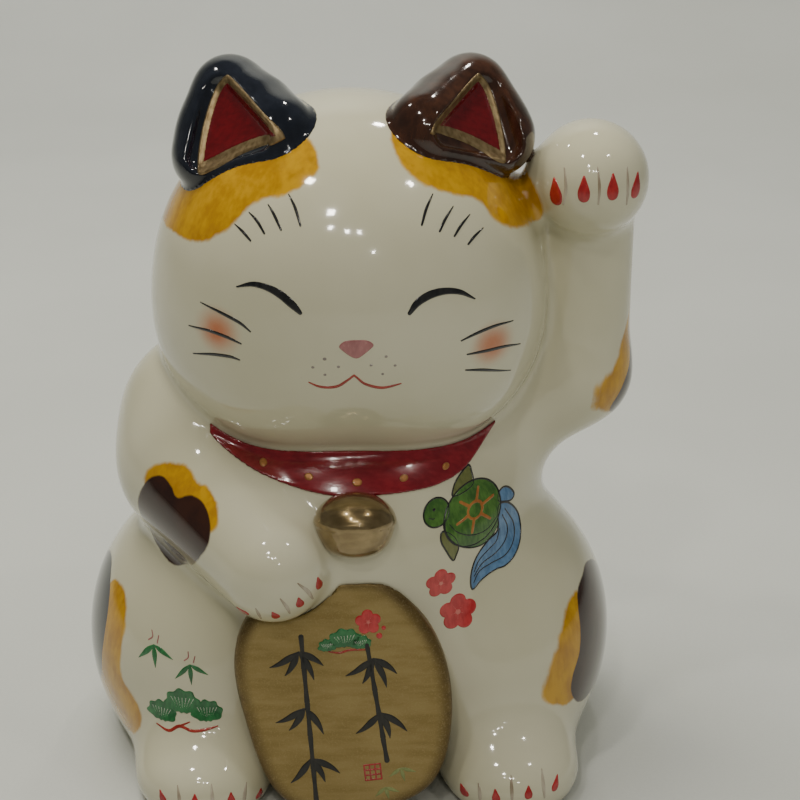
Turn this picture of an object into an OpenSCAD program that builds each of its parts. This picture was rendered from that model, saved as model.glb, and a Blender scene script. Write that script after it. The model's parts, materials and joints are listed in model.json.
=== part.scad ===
// Beckoning cat figurine, a hollow glazed coin bank that stands on a table.
// Z is up, the cat looks toward -Y and its raised paw is on the +X side.
// The origin is on the flat base, on the cat's line of symmetry.
// Every clay member is a round form; a member gives way to the one it was stuck onto,
// so neighbours meet face to face and never share clay.

/* [Node] */
// Which sub-part to draw

/* [Body] */
// Half width of the belly
belly_x = 46; // [43:0.5:48]
// Half depth of the belly
belly_y = 47; // [45:0.5:48]
// Half width of the chest
chest_x = 46; // [44:0.5:48]
// Half depth of the chest
chest_y = 44; // [43:0.5:46]
// Thickness of the cast clay walls
wall = 3.5; // [3:0.25:4.5]
// Thickness of the clay floor around the drain hole
floor_t = 7; // [6.5:0.5:8]
// Width of the square opening cut between the head and the body
neck_w = 27; // [24:1:30]

/* [Head] */
// Half width of the head
head_x = 49.2; // [47:0.2:51]
// Half depth of the head
head_y = 44; // [42:0.5:45]
// Half height of the head
head_h = 46.5; // [45:0.5:48]
// Height of the middle of the head
head_z = 125.5; // [124:0.5:127]
// Length of the coin slot
slot_w = 36; // [31:0.5:40]
// Height of the coin slot
slot_h = 5; // [4.5:0.1:6]

/* [Ears] */
// Distance of each ear tip from the middle
ear_x = 30; // [28:0.5:32]
// Height of the ear tips above the base
ear_top = 179; // [176:0.5:184]
// Radius of the rounded ear tip
ear_tip_r = 6.5; // [5.5:0.25:7.5]
// Depth of the dished red front of each ear
ear_dish = 1.8; // [1:0.2:2.4]

/* [Raised arm] */
// Radius of the forearm at the elbow
elbow_r = 14; // [13:0.5:15]
// Radius of the forearm at the wrist
wrist_r = 11; // [10.5:0.25:12.5]
// Half width of the raised paw
paw_r = 14.2; // [13:0.2:15]
// Height of the middle of the raised paw
paw_z = 151.5; // [149:0.5:154]

/* [Resting arm] */
// Radius of the resting arm at the elbow
rest_elbow_r = 18; // [17:0.5:19]
// Radius of the resting paw
rest_paw_r = 13.5; // [12.5:0.25:14.5]

/* [Hind legs] */
// Half width of each haunch
haunch_x = 34.6; // [33:0.2:35.6]
// Half depth of each haunch
haunch_y = 42; // [40:0.5:44]
// Half height of each haunch
haunch_h = 40; // [38:0.5:42]
// Half width of each hind foot
foot_x = 17.4; // [16:0.2:18]
// Distance of each hind foot from the middle
foot_out = 39; // [38:0.5:40]

/* [Gold tablet] */
// Width of the oval tablet
tablet_w = 53; // [50:0.5:55]
// Length of the oval tablet
tablet_l = 60; // [57:0.5:62]
// Thickness of the oval tablet
tablet_t = 8; // [7:0.5:9]
// How far the tablet leans back, in degrees
tablet_lean = 10; // [8:0.5:12]

/* [Collar and bell] */
// Width of the collar
collar_w = 6.4; // [5.5:0.1:7]
// How far the collar stands proud of the chest
collar_t = 1.2; // [1:0.1:1.6]
// Radius of each gold stud
stud_r = 1.9; // [1.5:0.1:2.2]
// Half width of the bell
bell_r = 9.4; // [8.5:0.2:10]

/* [Base stopper] */
// Diameter of the drain hole
hole_d = 22; // [20:0.5:24]
// Diameter of the stopper's flange
flange_d = 27; // [26:0.5:28]
// Gap between the stopper and the hole, on the radius
fit_gap = 0.06; // [0.03:0.01:0.09]

/* [Hidden] */
big = 400;
seg = 44;                                  // facets around the large forms
seg_s = 28;                                // facets around the small forms
head_c = [0.3, -4, head_z];
chest_c = [0, -1, 68];
chest_h = 30;
belly_c = [0, 1, 38];
belly_h = 50;
haunch_c = [34.7, -3, 27];
side_x = -0.6;                             // the haunches sit a touch toward the cat's right
tablet_c = [-3, -50, 32.4];
ear_c = ear_top - ear_tip_r;               // height of the tip ball's centre
hole_y = 17;                               // drain hole behind the middle of the base
hole_r = hole_d / 2;
recess_t = 3;                              // depth of the recess the flange hides in
recess_r = flange_d / 2 + 0.5;
lift = 0.6;                                // stopper flange clear of the table
collar_y = -39;
collar_z = 84;
collar_rise = 16.7;                        // degrees the collar climbs toward the shoulders
stud_a = [-34, -16, 2, 19.5, 37];          // degrees around the neck

clay = [0.93, 0.91, 0.86];
ink_black = [0.05, 0.06, 0.09];
dark_brown = [0.22, 0.09, 0.05];
gold = [0.67, 0.50, 0.24];
crimson = [0.62, 0.05, 0.07];
rubber = [0.85, 0.84, 0.80];

// A form made as one smooth lump of clay
module lump() resize([0, 0, 0]) children();

// Ellipsoid with centre c and half sizes r
module egg(c, r, n = seg) translate(c) scale(r) sphere(r = 1, $fn = n);

// Ball with centre c and radius r
module ball(c, r, n = seg_s) translate(c) sphere(r = r, $fn = n);

// Tapered limb between two balls
module limb(a, ra, b, rb) hull() { ball(a, ra); ball(b, rb); }

// Everything above height z
module above(z) translate([-big / 2, -big / 2, z]) cube(big);

// The pear of chest and belly; s is how far inside the outer skin it lies
module torso_form(s = 0)
  hull() {
    egg(chest_c, [chest_x - s, chest_y - s, chest_h - s]);
    intersection() {
      egg(belly_c, [belly_x - s, belly_y - s, belly_h - s]);
      above(max(0, s > 0 ? floor_t : 0));
    }
    translate([0, 1, s > 0 ? floor_t : 0]) scale([41 - s, 37 - s, 1]) cylinder(r = 1, h = 1, $fn = seg);
  }

// The head, a wide ball with full cheeks
module head_form(s = 0)
  hull() {
    egg(head_c, [head_x - s, head_y - s, head_h - s]);
    for (d = [-1, 1])
      egg([0.3 + d * 15, -5, head_z - 12.5], [31 - s, 34 - s, 29 - s], seg_s);
  }

// One haunch with its foot, side d, standing on the base
module leg_form(d, s = 0)
  intersection() {
    union() {
      egg([d * haunch_c[0] + side_x, haunch_c[1], haunch_c[2]], [haunch_x - s, haunch_y - s, haunch_h - s]);
      if (s == 0) {
        egg([d * foot_out + 1, -43, 6], [foot_x, 17.5, 11.5], seg_s);
        hull() {
          egg([d * foot_out + 1, -40, 7], [foot_x - 1, 14, 11], seg_s);
          egg([d * (foot_out - 1), -22, 12], [foot_x + 3, 14, 14], seg_s);
        }
      }
    }
    above(s > 0 ? floor_t - 2 : 0);
  }

// Shoulder, elbow, forearm and paw of the raised arm
module raised_form(s = 0) {
  limb([33, 2, 83], 18.5 - s, [57.4, 0, 98], elbow_r - s);
  limb([57.9, 0, 98], elbow_r - s, [60.5, -3, 140], wrist_r - s);
  egg([59.5, -9, paw_z], [paw_r - s, 16.5 - s, paw_r - s], seg_s);
}

// Shoulder, elbow and paw of the resting arm
module resting_form(s = 0) {
  egg([-38, 0, 84], [22 - s, 25 - s, 24 - s], seg_s);
  limb([-41, -12, 76], rest_elbow_r - s, [-19, -46.5, 65], rest_paw_r - s);
}

// One ear: a rounded three-sided cone with a dished front, side d
module ear_form(d)
  difference() {
    hull() {
      ball([d * ear_x, 0, ear_c], ear_tip_r);
      ball([d * 17.6, -6, ear_c - 9.5], 9.2);
      ball([d * 37.8, -4, ear_c - 21.5], 6.2);
      ball([d * 28, 9, ear_c - 18], 8);
    }
    hull() {
      ball([d * 31.2, -6.5 - ear_dish * 0.2, ear_c + 1.5], ear_dish, 16);
      ball([d * 36.2, -11.6 - ear_dish * 0.2, ear_c - 18], ear_dish, 16);
      ball([d * 17.5, -15.6 - ear_dish * 0.2, ear_c - 9.5], ear_dish, 16);
    }
  }

// The oval tablet before its neighbours press into it
module tablet_form()
  translate(tablet_c) rotate([90 - tablet_lean, 0, 0]) rotate([0, 0, 6])
    hull() {
      scale([tablet_w / 2, tablet_l / 2, 1]) cylinder(r = 1, h = tablet_t - 4, center = true, $fn = seg);
      scale([tablet_w / 2 - 2, tablet_l / 2 - 2, 1]) cylinder(r = 1, h = tablet_t, center = true, $fn = seg);
    }

// The collar: a band that hugs the chest and climbs onto both shoulders
module collar_form()
  intersection() {
    union() {
      egg(chest_c, [chest_x + collar_t, chest_y + collar_t, chest_h + collar_t]);
      egg([-38, 0, 84], [22 + collar_t, 25 + collar_t, 24 + collar_t], seg_s);
      ball([33, 2, 83], 18.5 + collar_t);
    }
    translate([0, collar_y, collar_z]) rotate([collar_rise, 0, 0])
      translate([0, 5, 0]) cube([74, 36, collar_w], center = true);
  }

// Hollow body with its neck passage, the flat base, the vents into the limbs and the drain hole
module torso_casting() color(clay)
  difference() {
    lump() difference() {
      torso_form();
      torso_form(wall);
      translate([0, 0, 85]) cube([neck_w, neck_w, 50], center = true);
      // vents that let the limbs breathe in the kiln
      for (d = [-1, 1]) {
        translate([d * 30, 0, 30]) rotate([0, d * 90, 0]) cylinder(r = 3, h = 25, $fn = 20);
        translate([d * 26, -2, 76]) rotate([0, d * 90, 0]) cylinder(r = 3, h = 30, $fn = 20);
      }
    }
    translate([0, hole_y, -1]) cylinder(r = hole_r, h = floor_t + 2, $fn = 64);
    translate([0, hole_y, -1]) cylinder(r = recess_r, h = recess_t + 1, $fn = 64);
  }

// Hollow head, open at the neck, with the coin slot across its back
module head_casting() color(clay)
  lump() difference() {
    head_form();
    head_form(wall);
    torso_form();
    translate([0, 0, 85]) cube([neck_w, neck_w, 50], center = true);
    hull()
      for (d = [-1, 1])
        translate([d * (slot_w - slot_h) / 2, 15, head_z + 14])
          rotate([-90, 0, 0]) cylinder(r = slot_h / 2, h = 40, $fn = 24);
  }

// The cat's right ear, black
module right_ear() color(ink_black)
  lump() difference() { ear_form(-1); head_form(); }

// The cat's left ear, dark brown
module left_ear() color(dark_brown)
  lump() difference() { ear_form(1); head_form(); raised_form(); }

// The beckoning arm, hollow, stuck to the chest and to the side of the head
module raised_arm() color(clay)
  lump() difference() {
    raised_form();
    raised_form(wall);
    torso_form();
    head_form();
    leg_form(1);
  }

// The arm that rests on the tablet, hollow, stuck to the chest
module resting_arm() color(clay)
  lump() difference() {
    resting_form();
    resting_form(wall);
    torso_form();
    head_form();
    leg_form(-1);
  }

// The cat's right hind leg, a hollow haunch with a solid foot
module right_hind_leg() color(clay)
  lump() difference() { leg_form(-1); leg_form(-1, wall); torso_form(); }

// The cat's left hind leg
module left_hind_leg() color(clay)
  lump() difference() { leg_form(1); leg_form(1, wall); torso_form(); }

// Stub of a tail curled against the back
module tail() color(ink_black)
  lump() difference() {
    union() {
      limb([-4, 40, 14], 10.5, [9, 47, 11], 9.5);
      limb([9, 47, 11], 9.5, [21, 47, 13], 8.5);
      limb([21, 47, 13], 8.5, [28, 42, 22], 7.5);
    }
    torso_form();
    leg_form(1);
    translate([0, 0, -big]) above(0);
  }

// The oval gold tablet under the resting paw
module tablet() color(gold)
  lump() difference() {
    tablet_form();
    torso_form();
    leg_form(-1);
    leg_form(1);
    resting_form();
    translate([0, 0, -big]) above(0);
  }

// The red collar
module collar() color(crimson)
  lump() difference() {
    collar_form();
    torso_form();
    head_form();
    resting_form();
    raised_form();
  }

// Five gold studs on the collar
module collar_studs() color(gold)
  lump() difference() {
    for (a = stud_a)
      translate([0, chest_c[1], collar_z + 1.9 * (1 - cos(2 * a))])
        rotate([0, 0, a]) translate([0, -39.2 + 1.9 * (1 - cos(2 * a)), 0.4])
          rotate([34, 0, 0]) scale([stud_r, 1.1, stud_r]) sphere(r = 1, $fn = 16);
    collar_form();
    torso_form();
  }

// The gold bell under the collar
module bell() color(gold)
  lump() difference() {
    union() {
      egg([0.5, -46, 74.6], [bell_r, 8, bell_r - 1.2], seg_s);
      // rolled seam around the bell's middle
      translate([0.5, -46, 74.6]) scale([1, 8 / bell_r, 1])
        rotate_extrude($fn = 36) translate([bell_r - 0.15, 0]) circle(r = 0.55, $fn = 10);
    }
    torso_form();
    collar_form();
    resting_form();
  }

// Soft stopper that closes the drain hole: a flange, a shank and a rounded nose
module base_stopper() color(rubber)
  translate([0, hole_y, lift]) {
    cylinder(r = flange_d / 2, h = recess_t - lift - 0.05, $fn = 64);
    cylinder(r = hole_r - fit_gap, h = floor_t + 0.4, $fn = 64);
    translate([0, 0, floor_t + 0.4])
      cylinder(r1 = hole_r - fit_gap, r2 = hole_r - 1.6, h = 2, $fn = 64);
  }

torso_casting();
head_casting();
right_ear();
left_ear();
raised_arm();
resting_arm();
right_hind_leg();
left_hind_leg();
tail();
tablet();
collar();
collar_studs();
bell();
base_stopper();
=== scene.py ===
# Beckoning cat figurine: a slip-cast, glazed and hand-painted coin bank about 180 mm tall.
# It is put together here as in the workshop: clay members under one glaze, then ears, tail,
# tablet, collar and bell, and last the enamels painted and printed over the fired glaze.
import json

import bpy
import numpy as np
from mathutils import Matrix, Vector
from mathutils.bvhtree import BVHTree

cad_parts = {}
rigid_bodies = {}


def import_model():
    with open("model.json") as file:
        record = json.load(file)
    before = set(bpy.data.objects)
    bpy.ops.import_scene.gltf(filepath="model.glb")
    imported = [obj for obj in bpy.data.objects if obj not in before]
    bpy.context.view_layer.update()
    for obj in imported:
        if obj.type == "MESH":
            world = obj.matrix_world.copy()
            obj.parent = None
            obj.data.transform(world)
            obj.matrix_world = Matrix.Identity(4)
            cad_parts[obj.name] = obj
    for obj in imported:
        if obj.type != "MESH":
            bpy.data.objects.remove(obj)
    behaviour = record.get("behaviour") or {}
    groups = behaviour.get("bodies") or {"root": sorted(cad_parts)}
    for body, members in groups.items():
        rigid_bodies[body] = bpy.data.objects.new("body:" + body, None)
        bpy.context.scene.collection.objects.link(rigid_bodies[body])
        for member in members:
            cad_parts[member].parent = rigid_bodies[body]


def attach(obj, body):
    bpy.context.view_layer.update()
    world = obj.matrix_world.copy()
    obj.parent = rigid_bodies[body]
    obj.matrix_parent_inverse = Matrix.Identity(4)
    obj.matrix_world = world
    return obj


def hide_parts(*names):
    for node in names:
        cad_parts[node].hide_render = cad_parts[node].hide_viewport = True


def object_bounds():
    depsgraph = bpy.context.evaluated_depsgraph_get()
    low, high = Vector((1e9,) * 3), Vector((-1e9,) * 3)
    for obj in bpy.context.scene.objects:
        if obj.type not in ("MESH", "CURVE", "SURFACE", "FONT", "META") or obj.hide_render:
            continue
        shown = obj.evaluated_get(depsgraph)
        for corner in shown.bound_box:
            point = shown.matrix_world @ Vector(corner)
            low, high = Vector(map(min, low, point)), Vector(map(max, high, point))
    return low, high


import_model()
cad_low, cad_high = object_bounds()

# ---------------------------------------------------------------------------------------
# Table, camera and light. The cat stands on a pale painted table in a softly lit room and is
# seen from a little above; small ceiling lamps leave points of light on the glaze.
MM = 0.001


def aim(thing, place, at):
    thing.location = Vector(place) * MM
    thing.rotation_mode = "QUATERNION"
    thing.rotation_quaternion = (Vector(at) - Vector(place)).to_track_quat("-Z", "Y")


camera = bpy.data.objects.new("camera", bpy.data.cameras.new("camera"))
bpy.context.collection.objects.link(camera)
bpy.context.scene.camera = camera
camera.data.lens, camera.data.sensor_width = 90, 36
camera.data.clip_start, camera.data.clip_end = 0.05, 20
eye_pitch, eye_away = np.radians(22), 520
aim(camera, (0, -eye_away * np.cos(eye_pitch), 90 + eye_away * np.sin(eye_pitch)), (13, 0, 89.4))


def lamp(name, place, at, wide, watts, tint, mirrored=True):
    light = bpy.data.lights.new(name, "AREA")
    light.energy, light.color, light.size = watts, tint, wide * MM
    thing = bpy.data.objects.new(name, light)
    thing.visible_glossy = mirrored
    bpy.context.collection.objects.link(thing)
    aim(thing, place, at)


lamp("room_light", (-230, 120, 950), (0, 0, 80), 480, 5.0, (1.0, 0.97, 0.89), mirrored=False)
lamp("window_light", (950, -350, 550), (0, 0, 90), 600, 1.3, (0.97, 0.98, 1.0), mirrored=False)
lamp("low_front_light", (250, -900, 300), (0, 0, 80), 500, 0.5, (1.0, 0.96, 0.90), mirrored=False)
lamp("backdrop_light", (-100, 500, 1300), (-100, 1150, 700), 700, 9.0, (1.0, 0.99, 0.95), mirrored=False)
# where each ceiling lamp hangs and how wide it is; all are equally bright to look at
ceiling = [((-145, -600, 845), 55), ((-150, -705, 740), 30), ((-18, -740, 715), 32), ((80, -745, 710), 32),
           ((-290, -270, 980), 60), ((450, -225, 920), 45), ((195, -830, 545), 22), ((155, 375, 860), 45),
           ((-470, 290, 875), 35)]
for number, (spot, wide) in enumerate(ceiling):
    lamp("ceiling_lamp_%d" % number, spot, (0, 0, 120), wide, 0.0003 * wide ** 2, (1.0, 0.96, 0.88))

room = bpy.data.worlds.new("room")
bpy.context.scene.world = room
room.use_nodes = True
room.node_tree.nodes["Background"].inputs[0].default_value = (0.50, 0.52, 0.49, 1)
room.node_tree.nodes["Background"].inputs[1].default_value = 0.22


class Wire:
    """A shader socket that sums, scales and mixes like a number."""

    def __init__(self, tree, socket=None):
        self.tree, self.socket = tree, socket

    def node(self, kind, settings, out, **sockets):
        made = self.tree.nodes.new(kind)
        for key, value in settings.items():
            setattr(made, key, value)
        for key, value in sockets.items():
            socket = made.inputs[int(key[1:]) if key[1:].isdigit() else key.replace("_", " ")]
            if isinstance(value, Wire):
                self.tree.links.new(value.socket, socket)
            else:
                socket.default_value = value
        return Wire(self.tree, made.outputs[out])

    def math(self, operation, first, second):
        return self.node("ShaderNodeMath", {"operation": operation}, 0, i0=first, i1=second)

    def __add__(self, other):
        return self.math("ADD", self, other)

    def __sub__(self, other):
        return self.math("SUBTRACT", self, other)

    def __rsub__(self, other):
        return self.math("SUBTRACT", other, self)

    def __mul__(self, other):
        return self.math("MULTIPLY", self, other)

    __radd__, __rmul__ = __add__, __mul__

    def rise(self, low, high):
        """0 below low and 1 above high, smooth between; high below low turns it over."""
        return self.node("ShaderNodeMapRange", {"interpolation_type": "SMOOTHSTEP"}, 0,
                         Value=self, From_Min=low, From_Max=high)

    def mix(self, first, second):
        """The first colour where this mask is 0, the second where it is 1."""
        return self.node("ShaderNodeMix", {"data_type": "RGBA"}, 2, i0=self, i6=first, i7=second)


class Finish(Wire):
    """A finish being laid on: its noises, its masks and the shader they feed."""

    def __init__(self, name, **constants):
        self.material = bpy.data.materials.new(name)
        self.material.use_nodes = True
        super().__init__(self.material.node_tree)
        self.shader = self.tree.nodes["Principled BSDF"]
        self.place = self.node("ShaderNodeTexCoord", {}, "Object")
        for key, value in constants.items():
            self.shader.inputs[key.replace("_", " ")].default_value = value

    def noise(self, per_metre, detail=2.0, stretch=(1, 1, 1)):
        place = self.node("ShaderNodeVectorMath", {"operation": "MULTIPLY"}, 0, i0=self.place, i1=stretch)
        return self.node("ShaderNodeTexNoise", {}, 0, Vector=place, Scale=per_metre, Detail=detail)

    def mask(self, name):
        return self.node("ShaderNodeAttribute", {"attribute_name": name}, "Fac")

    def lay(self, colour=None, rough=None, metal=None, bump=None, deep=0.0001, strength=1.0):
        for key, wire in (("Base Color", colour), ("Roughness", rough), ("Metallic", metal)):
            if wire is not None:
                self.tree.links.new(wire.socket, self.shader.inputs[key])
        if bump is not None:
            dent = self.node("ShaderNodeBump", {}, 0, Height=bump, Distance=deep, Strength=strength)
            self.tree.links.new(dent.socket, self.shader.inputs["Normal"])
        return self.material


def piece(name, corners, faces, material, body="cat", slot=None, nodes=(), normals=None):
    """A mesh in millimetres, riding on a body of the cat."""
    mesh = bpy.data.meshes.new(name)
    mesh.from_pydata((np.asarray(corners, float) * MM).tolist(), [], np.asarray(faces).tolist())
    mesh.materials.append(material)
    mesh.polygons.foreach_set("use_smooth", [True] * len(mesh.polygons))
    thing = bpy.data.objects.new(name, mesh)
    bpy.context.collection.objects.link(thing)
    if normals is not None:
        mesh.normals_split_custom_set_from_vertices(normals.tolist())
    mesh.update()
    if body:
        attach(thing, body)
    if nodes:
        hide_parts(*nodes)
    return thing


table = Finish("painted_table", Roughness=0.45)
cloud, tooth = table.noise(7, 3), table.noise(1100, 3)
colour = (0.7 * cloud + 0.3 * tooth).rise(0.3, 0.7).mix((0.56, 0.57, 0.525, 1), (0.61, 0.62, 0.575, 1))
table.lay(colour=colour, bump=tooth, deep=0.00015, strength=0.35)
# the far side of the table turns up into one plain backdrop
sweep = [(-900, 0), (600, 0)]
sweep += [(600 + 600 * np.sin(a), 600 - 600 * np.cos(a)) for a in np.linspace(0.08, 1.57, 18)]
sweep += [(1200, 1800)]
ground = [(x, y, z) for y, z in sweep for x in (-1800, 1800)]
table_top = piece("table_top", ground, [[i, i + 1, i + 3, i + 2] for i in range(0, len(ground) - 2, 2)],
                  table.material, body=None)

# ---------------------------------------------------------------------------------------
# The glazed body. Torso, head, haunches and both arms are cast in clay, hollow, stuck
# together with slip and fired under one ivory glaze that softens every crease. Mustard,
# brown and black patches and the blush are brushed into the glaze, so they have no edge.


def egg(p, centre, radii):
    q, r = p - np.array(centre, float), np.array(radii, float)
    near = np.linalg.norm(q / r, axis=-1)
    return near * (near - 1) / np.maximum(np.linalg.norm(q / r ** 2, axis=-1), 1e-9)


def limb(p, start, start_r, end, end_r):
    """A tapering member with round ends."""
    a, along = np.array(start, float), np.array(end, float) - np.array(start, float)
    square, narrow = along @ along, start_r - end_r
    flank = square - narrow ** 2
    q = p - a
    y = q @ along
    z = y - square
    x2 = ((q * square - y[..., None] * along) ** 2).sum(-1)
    k = np.sign(narrow) * narrow ** 2 * x2
    side = (np.sqrt(x2 * flank / square) + y * narrow) / square - start_r
    far = np.sqrt(x2 + z * z * square) / square - end_r
    near = np.sqrt(x2 + y * y * square) / square - start_r
    return np.where(np.sign(z) * flank * z * z * square > k, far,
                    np.where(np.sign(y) * flank * y * y * square < k, near, side))


def blend(a, b, soft):
    """Two members stuck together, slip filling the crease between them."""
    h = np.maximum(soft - np.abs(a - b), 0) / soft
    return np.minimum(a, b) - h * h * soft / 4


def carve(a, b, soft):
    """The first form with the second cut out of it, the edge wiped round."""
    return -blend(-a, b, soft)


def torso(p):
    return blend(egg(p, (0, -1, 68), (46, 44, 30)), egg(p, (0, 1, 38), (46, 47, 50)), 22)


def hind_leg(p, side):
    haunch = egg(p, (side * 34.7 - 0.6, -3, 27), (34.6, 42, 40))
    foot = blend(egg(p, (side * 39 + 1, -43, 6), (17.4, 17.5, 11.5)),
                 limb(p, (side * 39 + 1, -38, 3), 12, (side * 37, -14, 12), 17), 8)
    return blend(haunch, foot, 12)


def head(p, inside=0.0):
    whole = egg(p, (0.3, -4, 125.5), (49.2 - inside, 44 - inside, 46.5 - inside))
    for side in (-1, 1):
        cheek = egg(p, (0.3 + side * 15, -5, 113), (31 - inside, 34 - inside, 29 - inside))
        whole = blend(whole, cheek, 10)
    return whole


def raised_arm(p):
    arm = blend(limb(p, (33, 2, 83), 18.5, (57.4, 0, 98), 14),
                limb(p, (57.9, 0, 98), 14, (60.5, -3, 140), 11), 6)
    arm = blend(arm, egg(p, (59.5, -9, 151.5), (14.2, 16.5, 14.2)), 4)
    return blend(arm, egg(p, (46, -7, 148), (3, 6, 9)), 4)


def resting_arm(p):
    return blend(egg(p, (-38, 0, 84), (22, 25, 24)),
                 limb(p, (-41, -12, 76), 18, (-19, -46.5, 65), 13.5), 8)


def chest(p):
    """Everything but the head."""
    whole = blend(torso(p), np.minimum(hind_leg(p, -1), hind_leg(p, 1)), 9)
    return blend(blend(whole, resting_arm(p), 5), raised_arm(p), 10)


def skin(p):
    return blend(chest(p), head(p), 3.5)


def hollow(p):
    """The head's and belly's hollows, the neck between them, the coin slot and the drain hole."""
    belly = blend(egg(p, (0, -1, 68), (42, 40, 26)), egg(p, (0, 1, 40), (42, 43, 38)), 10)
    space = blend(np.maximum(belly, 7 - p[..., 2]), head(p, 3.5), 3)
    neck = np.maximum(np.abs(p[..., 0]), np.abs(p[..., 1])) - 13.5
    space = np.minimum(space, np.maximum(neck, np.abs(p[..., 2] - 90) - 14))
    slot = np.hypot(np.maximum(np.abs(p[..., 0]) - 15.5, 0), p[..., 2] - 139.5) - 2.5
    space = np.minimum(space, np.maximum(slot, 20 - p[..., 1]))
    drain = np.hypot(p[..., 0], p[..., 1] - 17)
    space = np.minimum(space, np.maximum(drain - 11, np.abs(p[..., 2]) - 9))
    return np.minimum(space, np.maximum(drain - 14, np.abs(p[..., 2]) - 3))


def bank(p):
    return -blend(-carve(skin(p), hollow(p), 1.2), p[..., 2], 1.6)


TURNS = np.array([(1, -1, -1), (-1, -1, 1), (-1, 1, -1), (1, 1, 1)]) * 0.04


def outward(form, p):
    """Which way is straight out of the surface at each point."""
    way = sum(t * form(p + t)[..., None] for t in TURNS)
    return way / np.maximum(np.linalg.norm(way, axis=-1, keepdims=True), 1e-12)


def cast(form, low, high, step):
    """The closed surface of a form, its corners drawn exactly onto it."""
    axes = [np.arange(a, b + step, step) for a, b in zip(low, high)]
    grid = np.stack(np.meshgrid(*axes, indexing="ij"), -1)
    value = form(grid[::4, ::4, ::4])
    for axis in range(3):
        value = value.repeat(4, axis)
    value = value[tuple(slice(0, n) for n in grid.shape[:3])]
    close = np.abs(value) < 9 * step
    value[close] = form(grid[close])
    solid = value < 0
    cells = np.array(value.shape) - 1
    ends = [(i, j, k) for i in (0, 1) for j in (0, 1) for k in (0, 1)]
    count = sum(solid[i:i + cells[0], j:j + cells[1], k:k + cells[2]].astype(int) for i, j, k in ends)
    cell = np.argwhere((count > 0) & (count < 8))
    number = np.full(cells, -1)
    number[tuple(cell.T)] = np.arange(len(cell))
    total, crossings = np.zeros((len(cell), 3)), np.zeros((len(cell), 1))
    for a in ends:
        for axis in range(3):
            if a[axis] == 0:
                b = tuple(v + (n == axis) for n, v in enumerate(a))
                at_a, at_b = value[tuple((cell + a).T)], value[tuple((cell + b).T)]
                cross = ((at_a < 0) != (at_b < 0))[:, None]
                part = (at_a / np.where(at_a == at_b, 1, at_a - at_b))[:, None]
                total += np.where(cross, np.array(a) + part * np.eye(3)[axis], 0)
                crossings += cross
    points = np.array(low) + (cell + total / crossings) * step
    faces = []
    for axis in range(3):
        inner = [slice(1, -1)] * 3
        inner[axis] = slice(0, -1)
        beyond = list(inner)
        beyond[axis] = slice(1, None)
        here = np.argwhere(solid[tuple(inner)] != solid[tuple(beyond)]) + 1 - np.eye(3, dtype=int)[axis]
        u, v = np.eye(3, dtype=int)[(axis + 1) % 3], np.eye(3, dtype=int)[(axis + 2) % 3]
        ring = np.stack([number[tuple((here - s).T)] for s in (u + v, v, 0 * u, u)], -1)
        ring[~solid[tuple(here.T)]] = ring[~solid[tuple(here.T)]][:, ::-1]
        faces.append(ring)
    for _ in range(2):
        miss = np.clip(form(points), -0.4 * step, 0.4 * step)
        points = points - outward(form, points) * miss[:, None]
    return points, np.concatenate(faces), outward(form, points)


def bend(corners, closed=True, steps=7):
    """A smooth brush line through the corners given; any further numbers run smoothly too."""
    c = np.array(corners, float)
    if closed:
        a, b, d, e = np.roll(c, 1, 0), c, np.roll(c, -1, 0), np.roll(c, -2, 0)
    else:
        c = np.vstack([2 * c[:1] - c[1:2], c, 2 * c[-1:] - c[-2:-1]])
        a, b, d, e = c[:-3], c[1:-2], c[2:-1], c[3:]
    t = (np.arange(steps) / steps)[None, :, None]
    a, b, d, e = (v[:, None] for v in (a, b, d, e))
    square, cube = 2 * a - 5 * b + 4 * d - e, 3 * b - a - 3 * d + e
    line = (0.5 * (2 * b + (d - a) * t + square * t ** 2 + cube * t ** 3)).reshape(-1, c.shape[1])
    return line if closed else np.vstack([line, c[-2:-1]])


def patch(corners, x, y, smooth=True):
    """How far each point lies outside a painted shape."""
    line = bend(corners) if smooth else np.array(corners, float)
    far, odd = np.full(x.shape, 1e9), np.zeros(x.shape, bool)
    for a, b in zip(line, np.roll(line, -1, 0)):
        e = b - a
        t = np.clip(((x - a[0]) * e[0] + (y - a[1]) * e[1]) / max(e @ e, 1e-12), 0, 1)
        far = np.minimum(far, np.hypot(x - a[0] - t * e[0], y - a[1] - t * e[1]))
        if a[1] != b[1]:
            odd ^= ((y < a[1]) != (y < b[1])) & (x < a[0] + (y - a[1]) * e[0] / e[1])
    return np.where(odd, -far, far)


# patches on the face and front are set out as (x, z), those on the flanks as (y, z)
brow_right = [(-49, 151), (-41.5, 151), (-36, 155), (-28.4, 160), (-21.2, 163), (-14, 166), (-9, 165.5),
              (-6.8, 162), (-7.6, 159.4), (-11, 157), (-16, 155), (-20.5, 153.6), (-23.6, 151.2),
              (-27.6, 147), (-34, 142.6), (-40.5, 141.8), (-49, 143)]
brow_left = [(10.2, 165.5), (12, 168), (17, 168), (28, 163), (36, 158), (42, 155), (45.5, 150), (47.2, 146),
             (47, 142), (43, 142.4), (39, 143.6), (34.4, 147), (30.6, 151.5), (25, 153.8), (19, 156.2),
             (13.5, 160)]
heart = [(-53.4, 70), (-52.6, 76), (-50, 80.4), (-46.6, 82), (-44, 80.6), (-42.6, 78.8), (-39, 80.3),
         (-35.6, 79.3), (-34, 76), (-34.6, 71.5), (-37, 67), (-40, 61.5), (-43.4, 57.6), (-47.4, 58.2),
         (-51, 62)]
heart_rim = [(-51.5, 79), (-49.5, 83), (-45, 85.3), (-40.2, 85.3), (-37.6, 83), (-34.6, 82.4),
             (-32.2, 79.8), (-32.4, 76.2), (-35.5, 74), (-42, 75), (-48, 76)]
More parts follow.
